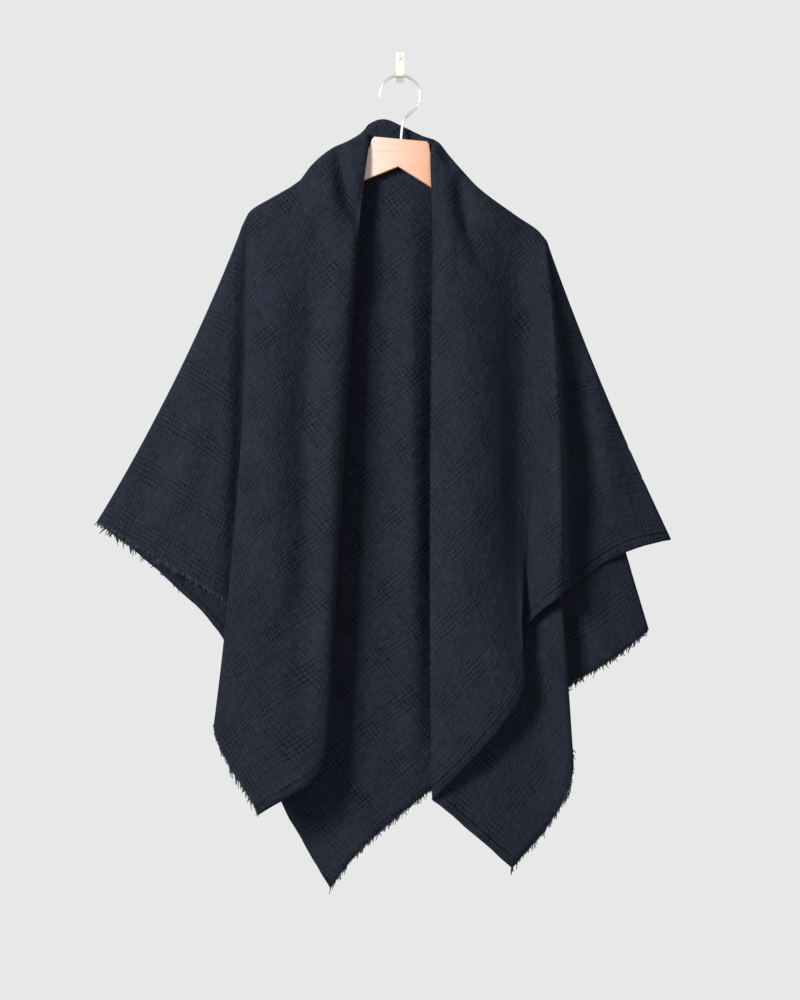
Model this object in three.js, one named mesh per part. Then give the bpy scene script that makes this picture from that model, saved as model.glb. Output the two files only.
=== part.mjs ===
import * as THREE from 'three';

// A square wool stole, folded corner to corner into a double layer and hung on a wooden hanger
// from a small wall hook. Millimetres, +Z up, +X to the right of someone who faces it, the front
// faces -Y and the wall is the plane y = 0. The origin is the middle of the hook plate's back.

// The cloth
const CLOTH = 2.0;            // thickness of the wool wall
const SEAM = 0.5;             // gap where two stretches of the one cloth meet
const CREST_SEAM = 1.0;       // the same along the crest, whose facets differ from side to side
const CORNER = 2.0;           // how far a stretch's upper corner is cut back from its neighbour
const LAYER_DROP = 5.5;       // the inner layer's crest lies this far under the outer layer's
const DROP_FROM = 30;         // within this distance of the middle the layers share one crest
const DROP_TO = 45;           // beyond this distance they lie the full drop apart
const LAPEL_REACH = 38;       // how far below the neck the fold leans in the most
const ROWS_DOWN = 15;         // facets from crest to hem
const FACETS_PER_FOLD = 3;    // facets from one fold line of the table to the next
const CREST_CROWDING = 1.55;  // more facets near the crest, where the cloth turns over
const DRAPE = 2.2;            // how soon below the crest a fold reaches its full depth

// The hanger and the wall hook
const HANGER_Y = -32;         // the hanger's middle plane, in front of the wall
const HANGER_TILT = 5.2;      // degrees, its right arm hangs lower
const PIVOT_Z = -16.6;        // middle of the wire at the crown of the hanger's hook
const WOOD = 12;              // thickness of the wooden body
const WIRE_R = 1.9;
const HOOK_R = 25.3;          // radius of the hook's bow, to the middle of the wire
const STEM_X = 6;             // the stem stands this far right of the bow's middle
const WOOD_TOP = -80;         // top of the wood under the hook's crown
const TOUCH = 0.3;            // pieces that touch are kept this far apart

// The crest is the highest line of the outer layer: up the left shoulder, round the neck and down
// the right shoulder. It is the upper outline of the stole seen from the front.
const crest = [
  { place: 'left shoulder end', x: -197, y: -32, z: -207 },
  { place: 'left shoulder', x: -187, y: -32, z: -188 },
  { place: 'left arm', x: -162, y: -32, z: -172 },
  { place: 'left arm middle', x: -125, y: -31.5, z: -149 },
  { place: 'left neck bump', x: -110, y: -31, z: -129 },
  { place: 'left neck slope', x: -88, y: -29.5, z: -110 },
  { place: 'left neck foot', x: -64, y: -26, z: -98 },
  { place: 'left neck side', x: -47, y: -19, z: -86 },
  { place: 'roll rises', x: -38, y: -17, z: -75 },
  { place: 'top of the roll', x: -19, y: -17, z: -70 },
  { place: 'behind the stem', x: 3, y: -17, z: -79 },
  { place: 'roll falls', x: 28, y: -17, z: -91 },
  { place: 'right neck side', x: 47, y: -19, z: -98 },
  { place: 'right neck foot', x: 60, y: -25, z: -115 },
  { place: 'right neck slope', x: 76, y: -29, z: -134 },
  { place: 'right arm dip', x: 100, y: -32, z: -160 },
  { place: 'right arm', x: 146, y: -32, z: -194 },
  { place: 'right shoulder', x: 171, y: -32, z: -211 },
  { place: 'right shoulder end', x: 184, y: -32, z: -226 },
];

// One row for each fold line, once round the doubled cloth: the outer layer from the left opening
// round the back to the right opening, then the inner layer back again. top is where the fold line
// leaves the crest, under how far it belongs to the inner layer, roll how far it first turns over
// the crest (- to the front, + to the back), lapel how far it leans aside below the neck, bow how far
// it swings aside half way down, and x, y, z are its foot on the hem.
const folds = [
  { name: 'left opening', top: -46, under: 1, roll: -25, lapel: 7, bow: 0, x: -95, y: -84, z: -876 },
  { name: 'left roll', top: -50, under: 0, roll: -30, lapel: 7, bow: 0, x: -101, y: -89, z: -881 },
  { name: 'left front corner', top: -78, under: 0, roll: -20, lapel: 4, bow: 0, x: -173, y: -99, z: -932 },
  { name: 'left panel side', top: -186, under: 0, roll: -15, lapel: 0, bow: 5, x: -227, y: -92, z: -819 },
  { name: 'left tuck, front leg', top: -189, under: 0, roll: -14, lapel: 0, bow: -5, x: -172, y: -68, z: -786 },
  { name: 'left tuck, turn', top: -191, under: 0, roll: -14, lapel: 0, bow: -17, x: -120, y: -57, z: -750 },
  { name: 'left tuck, back leg', top: -193, under: 0, roll: -14, lapel: 0, bow: -7, x: -168, y: -49, z: -716 },
  { name: 'left wing root', top: -194.5, under: 0, roll: -14, lapel: 0, bow: 0, x: -214, y: -48, z: -674 },
  { name: 'left wing', top: -196, under: 0, roll: -13, lapel: 0, bow: 3, x: -270, y: -43, z: -638 },
  { name: 'left wing edge', top: -197, under: 0, roll: 0, lapel: 0, bow: 10, x: -378, y: -31, z: -575 },
  { name: 'back, left wing', top: -192, under: 0, roll: 14, lapel: 0, bow: 3, x: -301, y: -18, z: -635 },
  { name: 'back, left', top: -166, under: 0, roll: 14, lapel: 0, bow: 0, x: -220, y: -10, z: -702 },
  { name: 'back, left middle', top: -105, under: 0, roll: 14, lapel: 0, bow: 0, x: -119, y: -14, z: -790 },
  { name: 'back, neck left', top: -50, under: 0, roll: 11, lapel: 0, bow: 0, x: -46, y: -10, z: -851 },
  { name: 'back, middle', top: -14, under: 0, roll: 5, lapel: 0, bow: 0, x: 24, y: -13, z: -898 },
  { name: 'back corner', top: 12, under: 0, roll: 5, lapel: 0, bow: 0, x: 94, y: -13, z: -950 },
  { name: 'back, first wave', top: 48, under: 0, roll: 11, lapel: 0, bow: 0, x: 128, y: -8, z: -905 },
  { name: 'back, hollow', top: 84, under: 0, roll: 14, lapel: 0, bow: 0, x: 165, y: -18, z: -842 },
  { name: 'back, second wave', top: 124, under: 0, roll: 14, lapel: 0, bow: 0, x: 220, y: -9, z: -759 },
  { name: 'back, right wing', top: 172, under: 0, roll: 14, lapel: 0, bow: 0, x: 286, y: -22, z: -610 },
  { name: 'right wing edge', top: 183, under: 0, roll: 0, lapel: 0, bow: -6, x: 338, y: -35, z: -597 },
  { name: 'right wing', top: 182, under: 0, roll: -13, lapel: 0, bow: -4, x: 283, y: -49, z: -611 },
  { name: 'right wing root', top: 181, under: 0, roll: -14, lapel: 0, bow: 0, x: 235, y: -64, z: -645 },
  { name: 'right ridge', top: 179, under: 0, roll: -15, lapel: 0, bow: 0, x: 193, y: -94, z: -665 },
  { name: 'right flank', top: 172, under: 0, roll: -14, lapel: 0, bow: 4, x: 166, y: -84, z: -692 },
  { name: 'right valley', top: 160, under: 0, roll: -14, lapel: 0, bow: 8, x: 140, y: -70, z: -718 },
  { name: 'right panel side', top: 142, under: 0, roll: -15, lapel: 0, bow: -8, x: 153, y: -90, z: -776 },
  { name: 'right panel', top: 96, under: 0, roll: -19, lapel: -2, bow: 0, x: 126, y: -99, z: -821 },
  { name: 'right roll', top: 50, under: 0, roll: -30, lapel: -7, bow: 0, x: 48, y: -89, z: -908 },
  { name: 'right opening', top: 46, under: 1, roll: -25, lapel: -7, bow: 0, x: 42, y: -84, z: -915 },
  { name: 'right roll, inner', top: 53, under: 1, roll: -22, lapel: -7, bow: 0, x: 50, y: -80, z: -922 },
  { name: 'inner right corner', top: 88, under: 1, roll: -14, lapel: -3, bow: 0, x: 138, y: -68, z: -1002 },
  { name: 'inner right flank', top: 136, under: 1, roll: -10, lapel: 0, bow: 0, x: 183, y: -62, z: -950 },
  { name: 'inner right ridge', top: 168, under: 1, roll: -9, lapel: 0, bow: 0, x: 212, y: -72, z: -888 },
  { name: 'inner right turn', top: 172.5, under: 1, roll: -9.5, lapel: 0, bow: 0, x: 205, y: -56, z: -823 },
  { name: 'inner right tuck', top: 175, under: 1, roll: -9.5, lapel: 0, bow: 0, x: 176, y: -46, z: -784 },
  { name: 'inner right root', top: 176.5, under: 1, roll: -9.5, lapel: 0, bow: 0, x: 208, y: -38, z: -776 },
  { name: 'inner right wing', top: 178, under: 1, roll: -9, lapel: 0, bow: 0, x: 259, y: -40, z: -749 },
  { name: 'inner right wing edge', top: 179, under: 1, roll: 0, lapel: 0, bow: -4, x: 310, y: -34, z: -709 },
  { name: 'inner back, right wing', top: 172, under: 1, roll: 9, lapel: 0, bow: 0, x: 257, y: -28, z: -745 },
  { name: 'inner back, second wave', top: 126, under: 1, roll: 9.5, lapel: 0, bow: 0, x: 201, y: -18, z: -791 },
  { name: 'inner back, hollow', top: 86, under: 1, roll: 9.5, lapel: 0, bow: 0, x: 150, y: -25, z: -829 },
  { name: 'inner back, first wave', top: 45.5, under: 1, roll: 6, lapel: 0, bow: 0, x: 88, y: -19, z: -876 },
  { name: 'inner back, neck right', top: 41, under: 1, roll: -4, lapel: 0, bow: 0, x: 62, y: -23, z: -897 },
  { name: 'inner back, middle', top: 12, under: 1, roll: -5, lapel: 0, bow: 0, x: 31, y: -26, z: -917 },
  { name: 'inner back, edge', top: -4, under: 1, roll: -5, lapel: 0, bow: 0, x: -48, y: -24, z: -984 },
  { name: 'inner back corner', top: -18, under: 1, roll: -5, lapel: 0, bow: 0, x: -88, y: -22, z: -1034 },
  { name: 'inner back, neck left', top: -41, under: 1, roll: -4, lapel: 0, bow: 0, x: -124, y: -25, z: -972 },
  { name: 'inner back, left middle', top: -45.5, under: 1, roll: 6, lapel: 0, bow: 0, x: -147, y: -23, z: -930 },
  { name: 'inner back, left', top: -106, under: 1, roll: 9.5, lapel: 0, bow: 0, x: -188, y: -20, z: -817 },
  { name: 'inner back, left hollow', top: -150, under: 1, roll: 9.5, lapel: 0, bow: 0, x: -223, y: -20, z: -720 },
  { name: 'inner back, left wing', top: -184, under: 1, roll: 9, lapel: 0, bow: 0, x: -301, y: -26, z: -638 },
  { name: 'inner left wing edge', top: -191, under: 1, roll: 0, lapel: 0, bow: 9, x: -344, y: -31, z: -600 },
  { name: 'inner left wing', top: -189.5, under: 1, roll: -9.5, lapel: 0, bow: 3, x: -293, y: -37, z: -632 },
  { name: 'inner left root', top: -188, under: 1, roll: -9.5, lapel: 0, bow: 0, x: -207, y: -41, z: -672 },
  { name: 'inner tuck, back leg', top: -186, under: 1, roll: -9.5, lapel: 0, bow: -6, x: -164, y: -42, z: -689 },
  { name: 'inner tuck, turn', top: -183.5, under: 1, roll: -9.5, lapel: 0, bow: -18, x: -106, y: -57, z: -706 },
  { name: 'inner tuck, front leg', top: -180.5, under: 1, roll: -9.5, lapel: 0, bow: -5, x: -160, y: -76, z: -720 },
  { name: 'inner left panel side', top: -176, under: 1, roll: -10, lapel: 0, bow: 0, x: -188, y: -85, z: -725 },
  { name: 'inner left panel', top: -92, under: 1, roll: -14, lapel: 3, bow: 0, x: -153, y: -91, z: -799 },
  { name: 'left roll, inner', top: -53, under: 1, roll: -22, lapel: 7, bow: 0, x: -99, y: -80, z: -868 },
];

const foldNumber = name => folds.findIndex(row => row.name === name);
const smooth = (low, high, value) => THREE.MathUtils.smoothstep(value, low, high);

// A cubic through four neighbouring values, at t from 0 to 1 between the middle two, that never
// swings past either of them
function throughFour(a, b, c, d, t) {
  const ease = (before, after) => (before * after > 0 ? 2 * before * after / (before + after) : 0);
  const rise = ease(b - a, c - b);
  const leave = ease(c - b, d - c);
  return b + rise * t + (3 * (c - b) - 2 * rise - leave) * t ** 2 + (2 * (b - c) + rise + leave) * t ** 3;
}

// The crest's y or z at a given x, as a smooth curve through the table
function crestAt(x, axis) {
  let k = 0;
  while (k < crest.length - 2 && x > crest[k + 1].x) k += 1;
  const point = index => crest[THREE.MathUtils.clamp(index, 0, crest.length - 1)];
  const slope = index => {
    const before = point(index - 1);
    const after = point(index + 1);
    return (after[axis] - before[axis]) / (after.x - before.x);
  };
  const span = point(k + 1).x - point(k).x;
  const t = (x - point(k).x) / span;
  const h = THREE.MathUtils.clamp(t, 0, 1);
  const start = point(k)[axis];
  const end = point(k + 1)[axis];
  const curve = start * (1 + 2 * h) * (1 - h) ** 2 + end * h * h * (3 - 2 * h)
    + span * (slope(k) * h * (1 - h) ** 2 + slope(k + 1) * h * h * (h - 1));
  return curve + (t - h) * span * slope(t > h ? k + 1 : k);
}

// The hem is one smooth curve for each side of the square, so that its four corners stay sharp
const corners = ['left front corner', 'back corner', 'inner right corner', 'inner back corner'];
const hemSides = corners.map((name, side) => {
  const first = foldNumber(name);
  const next = foldNumber(corners[(side + 1) % corners.length]);
  const rows = (next - first + folds.length) % folds.length;
  const feet = Array.from({ length: rows + 1 }, (_, k) => folds[(first + k) % folds.length]);
  const line = new THREE.CatmullRomCurve3(
    feet.map(row => new THREE.Vector3(row.x, row.y, row.z)), false, 'centripetal');
  return { first, rows, line };
});

function hemPoint(ring) {
  const onSide = side => (ring - side.first + folds.length) % folds.length;
  const side = hemSides.find(each => onSide(each) <= each.rows);
  return side.line.getPoint(onSide(side) / side.rows);
}

// A column of the fold table at ring place u, in fold rows
function ringValue(column, u) {
  const count = folds.length;
  const k = Math.floor(u);
  const value = step => folds[(k + step + count) % count][column];
  return throughFour(value(-1), value(0), value(1), value(2), u - k);
}

// A point in the middle of the cloth: u counts fold rows round the ring, v runs from crest to hem
function clothPoint(u, v) {
  const count = folds.length;
  const ring = ((u % count) + count) % count;
  const top = ringValue('top', ring);
  const roll = ringValue('roll', ring);
  const drop = LAYER_DROP * ringValue('under', ring) * smooth(DROP_FROM, DROP_TO, Math.abs(top));
  const start = new THREE.Vector3(top, crestAt(top, 'y'), crestAt(top, 'z') - drop);
  const foot = hemPoint(ring);
  const length = start.distanceTo(foot);
  const radius = Math.max(Math.abs(roll), 0.5);
  const turned = Math.tanh(v * length / radius);
  const fallen = (v * length - radius * turned) / (length - radius);
  const point = start.clone().lerp(foot, fallen);
  const depth = 1 - Math.max(1 - fallen, 0) ** DRAPE;
  point.y = start.y + (foot.y - start.y) * depth + roll * turned * (1 - depth);
  const lean = v * length / LAPEL_REACH;
  point.x += ringValue('lapel', ring) * lean * Math.exp(1 - lean);
  point.x += ringValue('bow', ring) * 4 * fallen * (1 - fallen);
  return point;
}

// Turns a closed list of corners and faces into a geometry whose faces point outwards
function closedGeometry(corners, faces) {
  let volume = 0;
  for (const [a, b, c] of faces) {
    volume += corners[a].dot(new THREE.Vector3().crossVectors(corners[b], corners[c]));
  }
  const ordered = volume > 0 ? faces : faces.map(([a, b, c]) => [a, c, b]);
  const geometry = new THREE.BufferGeometry();
  geometry.setAttribute('position', new THREE.Float32BufferAttribute(corners.flatMap(p => p.toArray()), 3));
  geometry.setIndex(ordered.flat());
  geometry.computeVertexNormals();
  return geometry;
}

// A stretch of the cloth as a closed wall, from one ring place to another and from crest to hem
function clothWall(from, to) {
  const across = (to - from) * FACETS_PER_FOLD;
  const step = 8e-4;
  const faceSides = [[], []];
  for (let i = 0; i <= across; i += 1) {
    const u = from + (to - from) * i / across;
    for (let j = 0; j <= ROWS_DOWN; j += 1) {
      const v = (j / ROWS_DOWN) ** CREST_CROWDING;
      const point = clothPoint(u, v);
      const near = Math.max(v, step);
      const round = clothPoint(u + step, near).sub(clothPoint(u - step, near)).normalize();
      const down = clothPoint(u, near + step).sub(clothPoint(u, near - step)).normalize();
      const out = new THREE.Vector3().crossVectors(round, down).normalize();
      const atSide = i === 0 || i === across;
      const sideways = j === 0 ? CORNER : SEAM / 2;
      if (i === 0) point.addScaledVector(round, sideways);
      if (i === across) point.addScaledVector(round, -sideways);
      if (j === 0) point.addScaledVector(down, atSide ? CORNER : CREST_SEAM / 2);
      faceSides[0].push(point.clone().addScaledVector(out, CLOTH / 2));
      faceSides[1].push(point.clone().addScaledVector(out, -CLOTH / 2));
    }
  }
  const perSide = faceSides[0].length;
  const at = (side, i, j) => side * perSide + i * (ROWS_DOWN + 1) + j;
  const faces = [];
  const quad = (a, b, c, d) => faces.push([a, b, c], [a, c, d]);
  for (let i = 0; i < across; i += 1) {
    for (let j = 0; j < ROWS_DOWN; j += 1) {
      quad(at(0, i, j), at(0, i, j + 1), at(0, i + 1, j + 1), at(0, i + 1, j));
      quad(at(1, i, j), at(1, i + 1, j), at(1, i + 1, j + 1), at(1, i, j + 1));
    }
    quad(at(0, i, 0), at(0, i + 1, 0), at(1, i + 1, 0), at(1, i, 0));
    quad(at(0, i, ROWS_DOWN), at(1, i, ROWS_DOWN), at(1, i + 1, ROWS_DOWN), at(0, i + 1, ROWS_DOWN));
  }
  for (let j = 0; j < ROWS_DOWN; j += 1) {
    quad(at(0, 0, j), at(1, 0, j), at(1, 0, j + 1), at(0, 0, j + 1));
    quad(at(0, across, j), at(0, across, j + 1), at(1, across, j + 1), at(1, across, j));
  }
  return closedGeometry([...faceSides[0], ...faceSides[1]], faces);
}

// Half the outline of the hanger's wood in its own upright frame, from the top middle to the arm's
// end and back along the underside to the notch. z is measured from the crown of the hook.
const woodHalf = [
  { place: 'top corner', x: 33, z: WOOD_TOP },
  { place: 'top corner, cut', x: 36, z: WOOD_TOP - 4 },
  { place: 'block side', x: 38.5, z: WOOD_TOP - 14 },
  { place: 'neck of the arm', x: 48, z: WOOD_TOP - 27 },
  { place: 'arm', x: 82, z: WOOD_TOP - 49 },
  { place: 'arm middle', x: 110, z: WOOD_TOP - 70 },
  { place: 'outer arm', x: 150, z: WOOD_TOP - 97 },
  { place: 'arm end, top', x: 166, z: WOOD_TOP - 107.7 },
  { place: 'arm end', x: 175, z: WOOD_TOP - 118 },
  { place: 'arm end, under', x: 169, z: WOOD_TOP - 124 },
  { place: 'underside', x: 90, z: WOOD_TOP - 81 },
  { place: 'notch', x: 0, z: WOOD_TOP - 35 },
];

function hangerWood() {
  const outline = new THREE.Shape();
  const left = [...woodHalf].slice(0, -1).reverse();
  outline.moveTo(-left[0].x, left[0].z);
  for (const p of left.slice(1)) outline.lineTo(-p.x, p.z);
  for (const p of woodHalf) outline.lineTo(p.x, p.z);
  const bevel = 1.5;
  const geometry = new THREE.ExtrudeGeometry(outline, {
    depth: WOOD - 2 * bevel,
    bevelEnabled: true,
    bevelSize: bevel,
    bevelOffset: -bevel,
    bevelThickness: bevel,
    bevelSegments: 2,
  });
  geometry.translate(STEM_X, 0, -WOOD / 2 + bevel);
  geometry.rotateX(Math.PI / 2);
  return geometry;
}

// The hook's wire: three quarters of a circle, then an easy bend into the straight stem
function hookWire() {
  const tipAngle = 190;
  const lowAngle = -38;
  const bowSteps = 20;
  const centre = -HOOK_R;
  const points = [];
  for (let k = 0; k <= bowSteps; k += 1) {
    const angle = THREE.MathUtils.degToRad(tipAngle + (lowAngle - tipAngle) * k / bowSteps);
    points.push(new THREE.Vector3(HOOK_R * Math.cos(angle), 0, centre + HOOK_R * Math.sin(angle)));
  }
  const stem = [
    { x: 12, z: -49 },
    { x: 7.5, z: -55 },
    { x: STEM_X, z: -64 },
    { x: STEM_X, z: WOOD_TOP + TOUCH },
  ];
  for (const p of stem) points.push(new THREE.Vector3(p.x, 0, p.z));
  const section = new THREE.Shape();
  section.absarc(0, 0, WIRE_R, 0, 2 * Math.PI);
  return new THREE.ExtrudeGeometry(section, {
    steps: 44,
    curveSegments: 8,
    bevelEnabled: false,
    extrudePath: new THREE.CatmullRomCurve3(points),
  });
}

// The wall hook is one bent strip: a plate on the wall, a floor that carries the wire, and a lip
const STRIP = 2;
const STRIP_WIDTH = 10;
const PLATE_TOP = 18;
const FLOOR_TOP = PIVOT_Z - HOOK_R + Math.sqrt((HOOK_R - WIRE_R) ** 2 - (STRIP_WIDTH / 2) ** 2) - TOUCH;
const LIP_Y = -41;
const LIP_TOP = -9;
const BEND_R = 5;
const SCREW_BELOW_TOP = 7;

function wallHook() {
  const side = new THREE.Shape();
  const floorLow = FLOOR_TOP - STRIP;
  side.moveTo(0, PLATE_TOP);
  side.lineTo(0, floorLow + BEND_R);
  side.quadraticCurveTo(0, floorLow, -BEND_R, floorLow);
  side.lineTo(LIP_Y + BEND_R, floorLow);
  side.quadraticCurveTo(LIP_Y, floorLow, LIP_Y, floorLow + BEND_R);
  side.lineTo(LIP_Y, LIP_TOP);
  side.lineTo(LIP_Y + STRIP, LIP_TOP);
  side.lineTo(LIP_Y + STRIP, floorLow + BEND_R);
  side.quadraticCurveTo(LIP_Y + STRIP, FLOOR_TOP, LIP_Y + BEND_R, FLOOR_TOP);
  side.lineTo(-BEND_R, FLOOR_TOP);
  side.quadraticCurveTo(-STRIP, FLOOR_TOP, -STRIP, floorLow + BEND_R);
  side.lineTo(-STRIP, PLATE_TOP);
  side.closePath();
  const geometry = new THREE.ExtrudeGeometry(side, {
    depth: STRIP_WIDTH, bevelEnabled: false, curveSegments: 5,
  });
  geometry.translate(0, 0, -STRIP_WIDTH / 2);
  // the outline's x becomes y and its y becomes z
  geometry.applyMatrix4(new THREE.Matrix4().makeBasis(
    new THREE.Vector3(0, 1, 0), new THREE.Vector3(0, 0, 1), new THREE.Vector3(1, 0, 0)));
  return geometry;
}

function screwHead() {
  const radius = 3;
  const rise = 1.6;
  const profile = [
    new THREE.Vector2(0, 0),
    new THREE.Vector2(radius, 0),
    new THREE.Vector2(radius * 0.9, rise * 0.6),
    new THREE.Vector2(radius * 0.5, rise * 0.95),
    new THREE.Vector2(0, rise),
  ];
  const geometry = new THREE.LatheGeometry(profile, 16);
  geometry.rotateX(Math.PI);
  return geometry;
}

const wool = new THREE.MeshStandardMaterial({ color: 0x23283a, roughness: 0.95, metalness: 0 });
const wood = new THREE.MeshStandardMaterial({ color: 0xe0a77c, roughness: 0.5, metalness: 0 });
const steel = new THREE.MeshStandardMaterial({ color: 0xc8ccd0, roughness: 0.2, metalness: 1 });
const brass = new THREE.MeshStandardMaterial({ color: 0xc9a15c, roughness: 0.3, metalness: 1 });

const stole = new THREE.Group();

function addPiece(name, geometry, material, parent = stole) {
  const mesh = new THREE.Mesh(geometry, material);
  mesh.name = name;
  parent.add(mesh);
  return mesh;
}

// The one square of cloth, in the six stretches that show
const stretches = [
  { name: 'front_left_outer', from: 'left opening', to: 'left wing edge' },
  { name: 'back_outer', from: 'left wing edge', to: 'right wing edge' },
  { name: 'front_right_outer', from: 'right wing edge', to: 'right opening' },
  { name: 'front_right_inner', from: 'right opening', to: 'inner right wing edge' },
  { name: 'back_inner', from: 'inner right wing edge', to: 'inner left wing edge' },
  { name: 'front_left_inner', from: 'inner left wing edge', to: null },
];
for (const stretch of stretches) {
  const end = stretch.to === null ? folds.length : foldNumber(stretch.to);
  addPiece(stretch.name, clothWall(foldNumber(stretch.from), end), wool);
}

const hanger = new THREE.Group();
const tilt = THREE.MathUtils.degToRad(HANGER_TILT);
hanger.position.set(HOOK_R * Math.sin(tilt), HANGER_Y, PIVOT_Z);
hanger.rotation.y = tilt;
stole.add(hanger);
addPiece('hanger_body', hangerWood(), wood, hanger);
addPiece('hanger_hook', hookWire(), steel, hanger);

addPiece('wall_hook', wallHook(), brass);
const screw = addPiece('wall_hook_screw', screwHead(), brass);
screw.position.set(0, -STRIP - TOUCH, PLATE_TOP - SCREW_BELOW_TOP);

export default stole;
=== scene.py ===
# A square wool stole, doubled corner to corner and hung on a wooden hanger from a small wall hook.
# Metres in the scene, millimetres in the tables. +Z is up, the front faces -Y, the wall is y = 0.
import math
import random
import bmesh
import bpy
import numpy as np
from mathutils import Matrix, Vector, noise


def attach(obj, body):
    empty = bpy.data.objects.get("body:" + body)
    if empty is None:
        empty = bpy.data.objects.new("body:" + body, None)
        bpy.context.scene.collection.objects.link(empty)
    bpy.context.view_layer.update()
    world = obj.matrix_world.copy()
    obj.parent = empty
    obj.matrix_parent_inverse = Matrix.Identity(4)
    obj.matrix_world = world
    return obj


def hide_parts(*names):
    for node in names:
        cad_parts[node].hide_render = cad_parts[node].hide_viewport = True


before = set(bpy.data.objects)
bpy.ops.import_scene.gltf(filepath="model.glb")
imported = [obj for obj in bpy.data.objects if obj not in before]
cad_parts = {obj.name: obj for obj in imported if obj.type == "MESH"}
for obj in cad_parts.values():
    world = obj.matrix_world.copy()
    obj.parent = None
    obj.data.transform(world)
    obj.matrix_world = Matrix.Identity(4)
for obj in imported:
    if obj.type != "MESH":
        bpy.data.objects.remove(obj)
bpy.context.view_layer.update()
print("frame loaded, nodes:", len(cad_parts))
mm = 0.001


view = {
    "eye": (0.0, -3.032, -0.5475),
    "sensor": 36.0,
    "focalShare": 2.4,  # focal length over the picture's height, for 800 x 1000
}


def makeCamera():
    data = bpy.data.cameras.new("camera")
    data.sensor_width = view["sensor"]
    data.lens = view["sensor"] * view["focalShare"]
    camera = bpy.data.objects.new("camera", data)
    camera.location = view["eye"]
    camera.rotation_euler = (math.radians(90), 0, 0)
    bpy.context.scene.collection.objects.link(camera)
    bpy.context.scene.camera = camera


makeCamera()
print("camera made")


def newObject(name, mesh):
    piece = bpy.data.objects.new(name, mesh)
    bpy.context.scene.collection.objects.link(piece)
    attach(piece, "root")
    return piece


def shadeSmooth(mesh):
    mesh.polygons.foreach_set("use_smooth", [True] * len(mesh.polygons))


# The crest is the highest line of the outer layer, up the left shoulder, round the neck and down
# the right shoulder: place, x, y, z
crest = [
    ("left shoulder end", -197, -32, -207),
    ("left shoulder", -187, -32, -188),
    ("left arm", -162, -32, -172),
    ("left arm middle", -125, -31.5, -149),
    ("left neck bump", -110, -31, -129),
    ("left neck slope", -88, -29.5, -110),
    ("left neck foot", -64, -26, -98),
    ("left neck side", -47, -19, -86),
    ("roll rises", -38, -17, -75),
    ("top of the roll", -19, -17, -70),
    ("behind the stem", 3, -17, -79),
    ("roll falls", 28, -17, -91),
    ("right neck side", 47, -19, -98),
    ("right neck foot", 60, -25, -115),
    ("right neck slope", 76, -29, -134),
    ("right arm dip", 100, -32, -160),
    ("right arm", 146, -32, -194),
    ("right shoulder", 171, -32, -211),
    ("right shoulder end", 184, -32, -226),
]

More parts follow.
